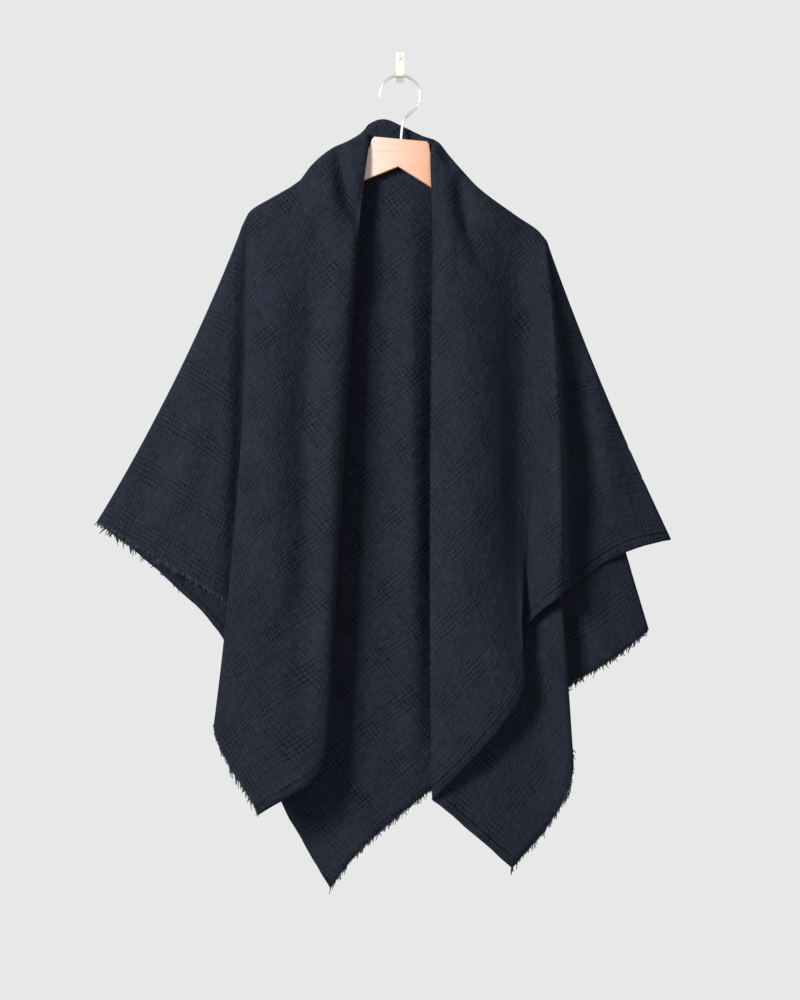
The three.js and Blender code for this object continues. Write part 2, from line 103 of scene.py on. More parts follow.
# One row for each fold line, once round the doubled cloth: name, where it leaves the crest, how far
# it belongs to the inner layer, how far it first turns over the crest (- to the front), how far it
# leans aside below the neck and half way down, and its foot x, y, z
folds = [
    ("left opening", -46, 1, -25, 7, 0, -90, -78, -850),
    ("left roll", -50, 0, -30, 7, 0, -106, -92, -889),
    ("left front corner", -78, 0, -20, 4, 0, -173, -99, -932),
    ("left panel side", -186, 0, -15, 0, 10, -227, -92, -819),
    ("left tuck, front leg", -189, 0, -14, 0, 5, -172, -68, -786),
    ("left tuck, turn", -191, 0, -14, 0, -17, -120, -57, -750),
    ("left tuck, back leg", -193, 0, -14, 0, -7, -168, -49, -716),
    ("left wing root", -194.5, 0, -14, 0, 0, -214, -48, -674),
    ("left wing", -196, 0, -13, 0, 3, -270, -43, -638),
    ("left wing edge", -197, 0, 0, 0, 10, -378, -31, -575),
    ("back, left wing", -192, 0, 14, 0, 3, -301, -18, -635),
    ("back, left", -166, 0, 14, 0, 0, -220, -10, -702),
    ("back, left middle", -105, 0, 14, 0, 0, -119, -14, -790),
    ("back, neck left", -50, 0, 11, 0, 0, -46, -10, -851),
    ("back, middle", -14, 0, 5, 0, 0, 24, -13, -898),
    ("back corner", 12, 0, 5, 0, 0, 94, -13, -950),
    ("back, first wave", 48, 0, 11, 0, 0, 128, -8, -905),
    ("back, hollow", 84, 0, 14, 0, 0, 165, -18, -842),
    ("back, second wave", 124, 0, 14, 0, 0, 220, -9, -759),
    ("back, right wing", 172, 0, 14, 0, 0, 286, -22, -610),
    ("right wing edge", 183, 0, 0, 0, -6, 338, -35, -597),
    ("right wing", 182, 0, -13, 0, -4, 283, -44, -611),
    ("right wing root", 181, 0, -14, 0, 6, 213, -51, -655),
    ("right ridge", 179, 0, -15, 0, 8, 196, -94, -665),
    ("right flank", 172, 0, -14, 0, 6, 169, -79, -689),
    ("right valley", 160, 0, -14, 0, 12, 147, -73, -718),
    ("right panel side", 142, 0, -15, 0, -14, 153, -90, -776),
    ("right panel", 96, 0, -19, -2, 0, 126, -99, -821),
    ("right roll", 50, 0, -30, -7, -5, 47, -89, -908),
    ("right opening", 46, 1, -25, -7, -5, 40, -84, -915),
    ("right roll, inner", 53, 1, -22, -7, -4, 48, -80, -922),
    ("inner right corner", 88, 1, -14, -3, 0, 138, -68, -1002),
    ("inner right flank", 136, 1, -10, 0, 0, 183, -62, -950),
    ("inner right ridge", 168, 1, -9, 0, 0, 212, -72, -888),
    ("inner right turn", 172.5, 1, -9.5, 0, 0, 205, -56, -823),
    ("inner right tuck", 175, 1, -9.5, 0, 0, 176, -46, -784),
    ("inner right root", 176.5, 1, -9.5, 0, 0, 208, -38, -776),
    ("inner right wing", 178, 1, -9, 0, 0, 259, -40, -749),
    ("inner right wing edge", 179, 1, 0, 0, -4, 310, -34, -709),
    ("inner back, right wing", 172, 1, 9, 0, 0, 257, -28, -745),
    ("inner back, second wave", 126, 1, 9.5, 0, 0, 201, -18, -791),
    ("inner back, hollow", 86, 1, 9.5, 0, 0, 150, -25, -829),
    ("inner back, first wave", 45.5, 1, 6, 0, 0, 88, -19, -876),
    ("inner back, neck right", 41, 1, -4, 0, 0, 62, -23, -897),
    ("inner back, middle", 12, 1, -5, 0, 0, 31, -26, -917),
    ("inner back, edge", -4, 1, -5, 0, 0, -48, -24, -984),
    ("inner back corner", -18, 1, -5, 0, 0, -88, -22, -1034),
    ("inner back, neck left", -41, 1, -4, 0, 0, -124, -25, -972),
    ("inner back, left middle", -45.5, 1, 6, 0, 0, -147, -23, -930),
    ("inner back, left", -106, 1, 9.5, 0, 0, -188, -20, -817),
    ("inner back, left hollow", -150, 1, 9.5, 0, 0, -223, -20, -720),
    ("inner back, left wing", -184, 1, 9, 0, 0, -301, -26, -638),
    ("inner left wing edge", -191, 1, 0, 0, 9, -344, -31, -600),
    ("inner left wing", -189.5, 1, -9.5, 0, 3, -293, -37, -632),
    ("inner left root", -188, 1, -9.5, 0, 0, -207, -41, -672),
    ("inner tuck, back leg", -186, 1, -9.5, 0, -6, -164, -42, -689),
    ("inner tuck, turn", -183.5, 1, -9.5, 0, -18, -106, -57, -706),
    ("inner tuck, front leg", -180.5, 1, -9.5, 0, -5, -160, -76, -720),
    ("inner left panel side", -176, 1, -10, 0, 0, -188, -85, -725),
    ("inner left panel", -92, 1, -14, 3, 0, -150, -88, -800),
    ("left roll, inner", -53, 1, -22, 7, 0, -98, -68, -832),
]

cloth = {
    "side": 1300.0,       # the cut is one square
    "wall": 1.7,          # thickness
    "layerDrop": 5.5,     # the inner layer's crest lies under the outer's
    "dropFrom": 30.0,
    "dropTo": 45.0,
    "lapelReach": 38.0,
    "drape": 2.2,
    "columnEvery": 10.2,  # along the hem
    "rows": 92,
    "crowding": 1.35,     # more rows near the crest
    "crestGap": 0.8,
    "leastRadius": 0.5,   # of the turn over the crest
    "neckHalf": 46,       # the fold lies straight over the neck this far each side of the middle
    "crumple": 1.3,       # height of the small unevenness, and its waves, across and down
    "wideWave": (62, 95),
    "fineWave": (27, 40),
    "fineShare": 0.5,
    "crumpleFrom": 12,    # it starts this far below the crest and grows over the next stretch
    "crumpleOver": 60,
    "hemWaver": 1.6,      # unevenness of the hem, its two waves and how far up it reaches
    "hemWaves": (24, 9),
    "hemFineShare": 0.6,
    "hemReach": 40,
    "creaseFrom": 2,      # creases start this far below the crest
    "creaseOver": 16,
    "creaseEdge": 0.5,    # and fade in over this share of a fold row
    "facing": (1.6, 0.2),  # they fade where the cloth turns edge on to the front
}
# fold rows of the back of both layers
backRows = ((9, 20), (38, 52))
# the fold rows between which the inner back hangs flat, and how its threads go over into the rest
innerBack = {"from": 42.5, "to": 48.5, "fadeFrom": 41.2, "fadeTo": 49.8, "fade": 1.3}
# corners of the cut, laid flat: along the fold, and off it (outer layer +)
flatCorners = {
    "back": (96, 899),
    "leftFront": (-914, 81),
    "innerBack": (-96, -929),
    "innerRight": (914, -111),
}
# where the hem passes the ends of the fold and the corners, by fold row
hemKnots = [(0, (-848, 0)), (2, flatCorners["leftFront"]), (15, flatCorners["back"]), (29, (824, 0)),
            (31, flatCorners["innerRight"]), (46, flatCorners["innerBack"]), (61, (-848, 0))]
hemCorners = (2, 15, 31, 46)
shoulderFlat = 180.0  # the shoulder's end, along and off the fold

crestX = np.array([row[1] for row in crest], float)
foldCount = len(folds)
column = {name: np.array([row[k] for row in folds], float)
          for k, name in enumerate(("name", "top", "under", "roll", "lapel", "bow", "x", "y", "z")) if k}


def crestAt(x, axis):
    values = np.array([row[axis] for row in crest], float)
    last = len(crestX) - 1
    k = np.clip(np.searchsorted(crestX, x, side="left") - 1, 0, last - 1)

    def slope(i):
        before = np.clip(i - 1, 0, last)
        after = np.clip(i + 1, 0, last)
        return (values[after] - values[before]) / (crestX[after] - crestX[before])

    span = crestX[k + 1] - crestX[k]
    t = (x - crestX[k]) / span
    h = np.clip(t, 0, 1)
    curve = (values[k] * (1 + 2 * h) * (1 - h) ** 2 + values[k + 1] * h * h * (3 - 2 * h)
             + span * (slope(k) * h * (1 - h) ** 2 + slope(k + 1) * h * h * (h - 1)))
    return curve + (t - h) * span * np.where(t > h, slope(k + 1), slope(k))


def ringValue(name, u):
    values = column[name]
    k = np.floor(u).astype(int)
    t = u - k
    a, b, c, d = (values[(k + step) % foldCount] for step in (-1, 0, 1, 2))

    def ease(p, q):
        total = np.where(p + q == 0, 1, p + q)
        return np.where(p * q > 0, 2 * p * q / total, 0.0)

    rise = ease(b - a, c - b)
    leave = ease(c - b, d - c)
    return b + rise * t + (3 * (c - b) - 2 * rise - leave) * t ** 2 + (2 * (b - c) + rise + leave) * t ** 3


def hemPoint(u):
    feet = np.stack([column["x"], column["y"], column["z"]], 1)
    k = np.floor(u).astype(int)
    t = (u - k)[:, None]
    p = [feet[(k + step) % foldCount] for step in (-1, 0, 1, 2)]
    # the hem runs straight into its four corners, which stay sharp
    p[0] = np.where(np.isin(k % foldCount, hemCorners)[:, None], 2 * p[1] - p[2], p[0])
    p[3] = np.where(np.isin((k + 1) % foldCount, hemCorners)[:, None], 2 * p[2] - p[1], p[3])
    # a centripetal curve: its gaps are the square roots of the distances
    gaps = [np.maximum(np.linalg.norm(p[i + 1] - p[i], axis=1) ** 0.5, 1e-4)[:, None] for i in range(3)]

    def direction(i):
        before, after = gaps[i - 1], gaps[i]
        return ((p[i] - p[i - 1]) / before - (p[i + 1] - p[i - 1]) / (before + after)
                + (p[i + 1] - p[i]) / after) * gaps[1]

    leave, reach = direction(1), direction(2)
    return (p[1] + leave * t + (-3 * p[1] + 3 * p[2] - 2 * leave - reach) * t ** 2
            + (2 * p[1] - 2 * p[2] + leave + reach) * t ** 3)


def clothStart(u):
    top = ringValue("top", u)
    s = np.clip((np.abs(top) - cloth["dropFrom"]) / (cloth["dropTo"] - cloth["dropFrom"]), 0, 1)
    drop = cloth["layerDrop"] * ringValue("under", u) * s * s * (3 - 2 * s)
    return np.stack([top, crestAt(top, 2), crestAt(top, 3) - drop], 1)


def clothPoints(u, rows):
    # rows: for each column, the shares of its length
    start = clothStart(u)
    foot = hemPoint(u)
    length = np.linalg.norm(foot - start, axis=1)
    roll = ringValue("roll", u)
    radius = np.maximum(np.abs(roll), cloth["leastRadius"])
    along = rows * length[:, None]
    turned = np.tanh(along / radius[:, None])
    fallen = (along - radius[:, None] * turned) / (length - radius)[:, None]
    points = start[:, None, :] + (foot - start)[:, None, :] * fallen[:, :, None]
    depth = 1 - np.maximum(1 - fallen, 0) ** cloth["drape"]
    points[:, :, 1] = (start[:, 1][:, None] + (foot[:, 1] - start[:, 1])[:, None] * depth
                       + roll[:, None] * turned * (1 - depth))
    lean = along / cloth["lapelReach"]
    points[:, :, 0] += (ringValue("lapel", u)[:, None] * lean * np.exp(1 - lean)
                        + ringValue("bow", u)[:, None] * 4 * fallen * (1 - fallen))
    return points


def hemFlat(u):
    # where a column's foot lies in the flat cut
    steps = 24
    fine = np.linspace(0, foldCount, foldCount * steps + 1)
    line = hemPoint(fine)
    arc = np.concatenate([[0], np.cumsum(np.linalg.norm(np.diff(line, axis=0), axis=1))])
    here = np.interp(u, fine, arc)
    places = np.interp([k for k, _ in hemKnots], fine, arc)
    flat = np.array([p for _, p in hemKnots], float)
    return np.stack([np.interp(here, places, flat[:, 0]), np.interp(here, places, flat[:, 1])], 1)


def crestFlat(u):
    # where a column's top lies in the flat cut
    steps = 400
    x = np.linspace(crestX[0], crestX[-1], steps)
    line = np.stack([x, crestAt(x, 2), crestAt(x, 3)], 1)
    arc = np.concatenate([[0], np.cumsum(np.linalg.norm(np.diff(line, axis=0), axis=1))])
    arc -= np.interp(0, x, arc)
    place = np.interp(ringValue("top", u), x, arc)
    neck = np.interp([-cloth["neckHalf"], cloth["neckHalf"]], x, arc)
    end = arc[[0, -1]]
    side = np.where(place < 0, 0, 1)
    past = np.clip((place - neck[side]) / (end[side] - neck[side]), 0, 1)
    turn = np.where(place < 0, -1, 1)
    along = np.where(past > 0, neck[side] + (turn * shoulderFlat - neck[side]) * past, place)
    layer = 1 - 2 * (ringValue("under", u) > 0.5)
    return np.stack([along, layer * shoulderFlat * past], 1)


# Main creases: where, the line they follow (x, z), half width and height, all mm.
# Heights are outwards, so troughs have -, but on the inside, seen from within, - stands out.
# Both layers share those of the front and the back, as doubled cloth does.
creases = [
    ("front", [(-78, -104), (-74, -138), (-67, -172), (-48, -208)], 8, -16),
    ("front", [(-90, -112), (-86, -160), (-80, -225)], 9, 8),
    ("front", [(-118, -140), (-132, -190), (-140, -260)], 16, -4),
    ("front", [(-98, -190), (-108, -300), (-117, -470), (-112, -640), (-122, -850)], 22, -16),
    ("front", [(-150, -215), (-163, -420), (-152, -700)], 30, 7),
    ("front", [(-80, -260), (-86, -430), (-88, -600), (-96, -800)], 15, 7),
    ("front", [(-120, -640), (-150, -720), (-162, -800)], 14, -4),
    ("front", [(-50, -92), (-46, -150), (-51, -222)], 12, -6),
    ("front", [(54, -108), (58, -122), (66, -136)], 5, -11),
    ("front", [(78, -132), (74, -165), (84, -215), (104, -262)], 9, -14),
    ("front", [(56, -142), (58, -230), (60, -330)], 13, 6),
    ("front", [(104, -150), (120, -200), (150, -240)], 15, 4),
    ("front", [(82, -190), (80, -330), (76, -520), (72, -740)], 26, 9),
    ("front", [(140, -210), (152, -330), (151, -470), (147, -600), (144, -740)], 32, -26),
    ("front", [(182, -228), (191, -400), (195, -630)], 10, 9),
    ("front", [(232, -380), (250, -470), (276, -585)], 17, 5),
    ("front", [(214, -330), (232, -450), (246, -590)], 12, -5),
    ("front", [(272, -450), (292, -520), (306, -590)], 13, -4),
    ("front", [(-236, -330), (-262, -460), (-292, -600)], 22, 5),
    ("front", [(-270, -420), (-316, -530), (-340, -590)], 18, -4),
    ("leftWing", [(-190, -208), (-194, -300), (-197, -485), (-206, -640), (-214, -740)], 12, -16),
    ("inside", [(-34, -290), (-38, -480), (-46, -700), (-56, -960)], 42, -14),
    ("inside", [(11, -150), (12, -300), (14, -480), (16, -700), (20, -860)], 17, -14),
    ("inside", [(40, -150), (42, -480), (48, -860)], 13, 6),
    ("inside", [(-38, -84), (-8, -86), (36, -103)], 9, 5),
    ("back", [(-40, -180), (-66, -420), (-92, -700)], 26, -6),
    ("back", [(28, -200), (22, -470), (10, -820)], 34, -5),
    ("back", [(-10, -260), (-22, -500), (-40, -900)], 30, 5),
    ("back", [(96, -230), (118, -420), (150, -690)], 24, -5),
    ("back", [(150, -260), (186, -420), (214, -600)], 26, 6),
    ("back", [(-120, -220), (-150, -420), (-176, -640)], 24, 6),
    ("back", [(-170, -260), (-226, -430), (-262, -560)], 22, -5),
]
# which fold rows each of them bends
creaseRows = {
    "front": [(-1, 9.5), (19.5, 38.5), (51.5, 62)],
    "back": [(9.5, 19.5), (38.5, 51.5)],
    "leftWing": [(5, 9.5), (52, 56.5)],
    "inside": [(42, 49)],
}


def creaseHeights(x, z, u):
    total = np.zeros_like(x)
    for where, line, halfWidth, height in creases:
        bent = np.zeros(len(u))
        for first, last in creaseRows[where]:
            inside = np.minimum(u - first, last - u)
            bent = np.maximum(bent, np.clip(inside / cloth["creaseEdge"], 0, 1))
        line = np.array(line, float)
        nearest = np.full(x.shape, np.inf)
        along = np.zeros_like(x)
        lengths = np.linalg.norm(np.diff(line, axis=0), axis=1)
        passed = np.concatenate([[0], np.cumsum(lengths)])
        for k, (a, b) in enumerate(zip(line[:-1], line[1:])):
            reach = (x - a[0]) * (b[0] - a[0]) + (z - a[1]) * (b[1] - a[1])
            t = np.clip(reach / lengths[k] ** 2, 0, 1)
            away = np.hypot(x - a[0] - t * (b[0] - a[0]), z - a[1] - t * (b[1] - a[1]))
            closer = away < nearest
            nearest = np.where(closer, away, nearest)
            along = np.where(closer, (passed[k] + t * lengths[k]) / passed[-1], along)
        taper = np.sin(np.clip(along, 0.0, 1.0) * math.pi) ** 0.5
        total += height * taper * np.exp(-(nearest / halfWidth) ** 2) * bent[:, None]
    return total


def stoleColumns():
    # ring places of the columns: every fold line, and evenly between them by the hem's length
    samples, justShort, fewest = 12, 0.9999, 3
    places = []
    for k in range(foldCount):
        line = hemPoint(np.linspace(k, k + justShort, samples))
        length = np.linalg.norm(np.diff(line, axis=0), axis=1).sum()
        count = max(fewest, round(length / cloth["columnEvery"]))
        places += [k + i / count for i in range(count)]
    return np.array(places)


def crumpleAt(p, side):
    (wideX, wideZ), (fineX, fineZ) = cloth["wideWave"], cloth["fineWave"]
    fine = noise.noise((p[0] / fineX, side + 7, p[2] / fineZ))
    return noise.noise((p[0] / wideX, side, p[2] / wideZ)) + cloth["fineShare"] * fine


def hemWaverAt(p):
    wideWave, fineWave = cloth["hemWaves"]
    fine = noise.noise(Vector(p) / fineWave + Vector((4, 0, 0)))
    return noise.noise(Vector(p) / wideWave) + cloth["hemFineShare"] * fine


def stoleSurface(u):
    # the middle of the cloth at each column and row, with its creases, and how far down each row is
    start = clothStart(u)
    length = np.linalg.norm(hemPoint(u) - start, axis=1)
    first = cloth["crestGap"] / length
    shares = np.linspace(0, 1, cloth["rows"] + 1) ** cloth["crowding"]
    rows = first[:, None] + (1 - first[:, None]) * shares[None, :]
    points = clothPoints(u, rows)
    along = np.gradient(points, axis=1)
    ahead = np.roll(points, -1, 0) - np.roll(points, 1, 0)
    normal = np.cross(ahead, along)
    normal /= np.linalg.norm(normal, axis=2, keepdims=True) + 1e-9
    x, z = points[:, :, 0], points[:, :, 2]
    onBack = np.any([(u > first) & (u < last) for first, last in backRows], axis=0)[:, None]
    facing, least = cloth["facing"]
    flatness = np.clip(np.abs(normal[:, :, 1]) * facing - least, 0, 1)
    below = rows * length[:, None]
    fromCrest = np.clip((below - cloth["crumpleFrom"]) / cloth["crumpleOver"], 0, 1)
    creased = np.clip((below - cloth["creaseFrom"]) / cloth["creaseOver"], 0, 1)
    height = creaseHeights(x, z, u) * flatness * creased
    points[:, :, 1] += np.where(onBack, height, -height)
    # the front and the back crumple differently
    crumple = np.zeros_like(x)
    for i in range(points.shape[0]):
        side = 40.0 if onBack[i, 0] else 0.0
        for j in range(points.shape[1]):
            crumple[i, j] = crumpleAt(points[i, j], side)
    points[:, :, 1] += cloth["crumple"] * crumple * fromCrest
    # the hem is a little uneven
    nearHem = np.clip(1 - (1 - rows) * length[:, None] / cloth["hemReach"], 0, 1) ** 2
    for i in range(points.shape[0]):
        points[i, :, 2] += cloth["hemWaver"] * hemWaverAt(points[i, -1]) * nearHem[i]
    return points, rows


def straightened(flat, points, u):
    # the inner back hangs as one plane, so its threads run straight there
    hanging = (u > innerBack["from"]) & (u < innerBack["to"])
    here = points[hanging][:, :, [0, 2]].reshape(-1, 2)
    there = flat[hanging].reshape(-1, 2)
    middleHere, middleThere = here.mean(0), there.mean(0)
    left, _, right = np.linalg.svd((here - middleHere).T @ (there - middleThere))
    plane = (points[:, :, [0, 2]] - middleHere) @ (left @ right) + middleThere
    within = np.minimum(u - innerBack["fadeFrom"], innerBack["fadeTo"] - u)
    share = np.clip(within / innerBack["fade"], 0, 1)[:, None, None]
    return flat + (plane - flat) * share


# Where the front and the back of each layer meet along the crest: the fold rows to look between,
# and the fold row or the x that the column there is nearest to
meetings = {
    "wing left": (8, 10, "row", 9),
    "wing right": (19, 21, "row", 20),
    "under left": (51, 53, "row", 52),
    "under right": (37, 39, "row", 38),
    "neck left": (12, 14, "x", -50),
    "neck right": (15, 17, "x", 50),
    "inner left": (48, 50, "x", -53),
    "inner right": (42, 44, "x", 53),
    "roll left": (0, 2, "row", 1),
    "roll right": (27, 29, "row", 28),
    "turn left": (59, 60.5, "row", 60),
    "turn right": (29, 31, "row", 30),
}
# each seam joins two runs of columns, from and to a meeting
crestSeams = [
    (("roll left", "wing left"), ("neck left", "wing left")),
    (("roll right", "wing right"), ("neck right", "wing right")),
    (("turn left", "under left"), ("inner left", "under left")),
    (("turn right", "under right"), ("inner right", "under right")),
    (("neck left", "neck right"), ("inner left", "inner right")),
]


def closeCrest(bm, byPlace, points, u):
    def columnAt(meeting):
        low, high, kind, wanted = meetings[meeting]
        inside = np.where((u >= low - 1e-6) & (u <= high + 1e-6))[0]
        away = np.abs((u[inside] if kind == "row" else points[inside, 0, 0]) - wanted)
        return int(inside[np.argmin(away)])

    def run(start, end):
        return list(range(start, end + 1)) if end > start else list(range(start, end - 1, -1))

    def stitch(first, second):
        # two runs of columns that start side by side and go the same way along the crest
        def reach(columns, k):
            if k == len(columns):
                return math.inf
            return abs(points[columns[k], 0, 0] - points[first[0], 0, 0])

        i = j = 0
        while i < len(first) - 1 or j < len(second) - 1:
            a, b = byPlace[first[i], 0], byPlace[second[j], 0]
            if reach(first, i + 1) <= reach(second, j + 1):
                i += 1
                corners = (a, byPlace[first[i], 0], b)
            else:
                j += 1
                corners = (a, byPlace[second[j], 0], b)
            if len(set(corners)) == 3:
                bm.faces.new(corners)

    for seam in crestSeams:
        stitch(*(run(columnAt(start), columnAt(end)) for start, end in seam))
    rims = [e for e in bm.edges if e.is_boundary]
    bmesh.ops.holes_fill(bm, edges=rims, sides=60)
    bmesh.ops.recalc_face_normals(bm, faces=bm.faces)


def stoleMesh():
    u = stoleColumns()
    points, rows = stoleSurface(u)
    count, deep = points.shape[0], points.shape[1]
    top, foot = crestFlat(u), hemFlat(u)
    flat = top[:, None, :] + (foot - top)[:, None, :] * rows[:, :, None]
    flat = straightened(flat, points, u)
    corner = np.array(flatCorners["back"], float)
    weft = (np.array(flatCorners["innerRight"]) - corner) / cloth["side"] ** 2
    warp = (np.array(flatCorners["leftFront"]) - corner) / cloth["side"] ** 2
    uv = np.stack([(flat - corner) @ weft, (flat - corner) @ warp], 2)

    bm = bmesh.new()
    bmesh.ops.create_grid(bm, x_segments=count, y_segments=deep - 1, size=0.5)
    flatAt = bm.verts.layers.float_vector.new("cut")
    byPlace = {}
    for v in bm.verts:
        i = round((v.co.x + 0.5) * count)
        j = round((v.co.y + 0.5) * (deep - 1))
        v.co = Vector(points[i % count, j]) * mm
        v[flatAt] = Vector((*uv[i % count, j], 0))
        byPlace[i, j] = v
    welds = {byPlace[count, j]: byPlace[0, j] for j in range(deep)}
    for j in range(deep):
        byPlace[count, j] = byPlace[0, j]
    bmesh.ops.weld_verts(bm, targetmap=welds)

    closeCrest(bm, byPlace, points, u)
    cut = bm.loops.layers.uv.new("cut")
    for face in bm.faces:
        for loop in face.loops:
            loop[cut].uv = loop.vert[flatAt].xy
    bm.verts.layers.float_vector.remove(flatAt)
    mesh = bpy.data.meshes.new("stole")
    bm.to_mesh(mesh)
    bm.free()
    return mesh, points, u


stoleData, clothGrid, clothPlaces = stoleMesh()
shadeSmooth(stoleData)
stole = newObject("stole", stoleData)
wall = stole.modifiers.new("wall", "SOLIDIFY")
wall.thickness = cloth["wall"] * mm
wall.offset = 0
print("stole made, faces:", len(stoleData.polygons))


# The raw edges fray: short ends of yarn that stand out of the hem
fray = {
    "every": 1.25,        # mm between two ends
    "length": (1.4, 6.4),
    "long": 7.5,          # a few are this long
    "longShare": 0.05,
    "thick": 0.9,
    "tuft": 7.0,          # how far apart longer tufts stand
    "tuftLength": (0.35, 2.1),
    "lean": (0.25, 1.4),  # each end's own, and its tuft's
    "lift": 0.4,
    "curl": 0.4,
    "root": 1.2,          # how far it starts inside the hem
    "scatter": 0.5,
    "sag": 0.12,
    "taper": 0.55,
    "spread": (0.4, 1.6),  # unevenness of the spacing
    "points": 4,
    "ranges": [(2, 15), (31, 46)],
}


def fringeMesh():
    pick = random.Random(7)
    curve = bpy.data.curves.new("frayDraft", "CURVE")
    curve.dimensions = "3D"
    curve.bevel_depth = fray["thick"] * mm
    curve.bevel_resolution = 0
    curve.use_fill_caps = True
    foot = clothGrid[:, -1]
    down = clothGrid[:, -1] - clothGrid[:, -3]
    down /= np.linalg.norm(down, axis=1, keepdims=True)
    for low, high in fray["ranges"]:
        place = float(low)
        while place < high:
            k = int(np.searchsorted(clothPlaces, place, side="right")) - 1
            nextK = (k + 1) % len(clothPlaces)
            wide = (clothPlaces[nextK] - clothPlaces[k]) % foldCount
            t = (place - clothPlaces[k]) / wide
            along = Vector(foot[nextK] - foot[k])
            base = Vector(foot[k]) + along * t
            out = (Vector(down[k]) * (1 - t) + Vector(down[nextK]) * t).normalized()
            side = along.normalized()
            across = out.cross(side).normalized()
            least, more = fray["tuftLength"]
            tuft = least + more * abs(noise.noise(base / fray["tuft"]))
            length = pick.uniform(*fray["length"]) * tuft
            if pick.random() < fray["longShare"]:
                length = pick.uniform(fray["length"][1], fray["long"])
            ownLean, tuftLean = fray["lean"]
            lean = pick.gauss(0, ownLean) + tuftLean * noise.noise(base / fray["tuft"] + Vector((0, 0, 9)))
            lift = pick.gauss(0, fray["lift"])
            curl = pick.gauss(0, fray["curl"])
            spline = curve.splines.new("POLY")
            spline.points.add(fray["points"] - 1)
            for n in range(fray["points"]):
                s = n / (fray["points"] - 1)
                point = (base - out * fray["root"] + across * pick.uniform(-fray["scatter"], fray["scatter"])
                         + out * (length + fray["root"]) * s
                         + side * length * (lean * s + curl * s * s)
                         + across * length * lift * s * s
                         + Vector((0, 0, -fray["sag"] * length * s * s)))
                spline.points[n].co = (*(point * mm), 1)
                spline.points[n].radius = 1 - fray["taper"] * s
            place += fray["every"] * pick.uniform(*fray["spread"]) / max(along.length, 0.1) * wide
    draft = bpy.data.objects.new("frayDraft", curve)
    mesh = bpy.data.meshes.new_from_object(draft)
    mesh.name = "frayed_ends"
    bpy.data.objects.remove(draft)
    bpy.data.curves.remove(curve)
    return mesh


fringe = newObject("frayed_ends", fringeMesh())
print("frayed ends made, faces:", len(fringe.data.polygons))


# Materials

def toolsFor(tree):
    # two short ways to place nodes: put(kind, inputs, settings) and calc(operation, values)
    def put(kind, inputs=None, **settings):
        node = tree.nodes.new(kind)
        for key, value in settings.items():
            setattr(node, key, value)
        for key, value in (inputs or {}).items():
            if isinstance(value, bpy.types.NodeSocket):
                tree.links.new(value, node.inputs[key])
            else:
                node.inputs[key].default_value = value
        return node

    def calc(operation, *values, clamp=False):
        inputs = dict(enumerate(values))
        return put("ShaderNodeMath", inputs, operation=operation, use_clamp=clamp).outputs[0]

    return put, calc


def newMaterial(name):
    material = bpy.data.materials.new(name)
    material.use_nodes = True
    put, calc = toolsFor(material.node_tree)
    return material, material.node_tree.nodes["Principled BSDF"], put, calc


def blendColors(put, share, first, second):
    node = put("ShaderNodeMix", {0: share, 6: first, 7: second}, data_type="RGBA")
    return node.outputs[2]


def ramp(put, value, low, high, fromZero=0.0, toOne=1.0, soft=True):
    inputs = {"Value": value, "From Min": low, "From Max": high, "To Min": fromZero, "To Max": toOne}
    kind = "SMOOTHSTEP" if soft else "LINEAR"
    return put("ShaderNodeMapRange", inputs, interpolation_type=kind).outputs[0]


def cloudy(put, place, scale, detail=2.0, roughness=0.5):
    inputs = {"Vector": place, "Scale": scale, "Detail": detail, "Roughness": roughness}
    return put("ShaderNodeTexNoise", inputs).outputs["Fac"]


def bumped(put, strength, distance, height, below=None):
    # metres; below is the relief that this one lies on
    inputs = {"Strength": strength, "Distance": distance, "Height": height}
    if below is not None:
        inputs["Normal"] = below
    return put("ShaderNodeBump", inputs).outputs[0]


def vectorMath(put, operation, first, second):
    key = "Scale" if operation == "SCALE" else 1
    return put("ShaderNodeVectorMath", {0: first, key: second}, operation=operation).outputs[0]


def groupIn(put, tree, place, **scales):
    group = put("ShaderNodeGroup", node_tree=tree)
    group.id_data.links.new(place, group.inputs["Vector"])
    for name, value in scales.items():
        group.inputs[name.capitalize() + " Scale"].default_value = value
    return group.outputs


def fibreGroup():
    # light flecks and cloudy unevenness of spun wool, for the cloth and for its loose ends
    tree = bpy.data.node_groups.new("fibreTone", "ShaderNodeTree")
    tree.interface.new_socket("Vector", in_out="INPUT", socket_type="NodeSocketVector")
    tree.interface.new_socket("Fleck Scale", in_out="INPUT", socket_type="NodeSocketFloat")
    tree.interface.new_socket("Cloud Scale", in_out="INPUT", socket_type="NodeSocketFloat")
    tree.interface.new_socket("Flecks", in_out="OUTPUT", socket_type="NodeSocketFloat")
    tree.interface.new_socket("Clouds", in_out="OUTPUT", socket_type="NodeSocketFloat")
    put, _ = toolsFor(tree)
    entry = put("NodeGroupInput")
    leave = put("NodeGroupOutput")
    place = entry.outputs["Vector"]
    fine = cloudy(put, place, entry.outputs["Fleck Scale"], 2.0, 0.6)
    cloud = cloudy(put, place, entry.outputs["Cloud Scale"], 4.0, 0.55)
    tree.links.new(ramp(put, fine, 0.6, 0.78), leave.inputs["Flecks"])
    tree.links.new(cloud, leave.inputs["Clouds"])
    return tree


fibreTone = fibreGroup()

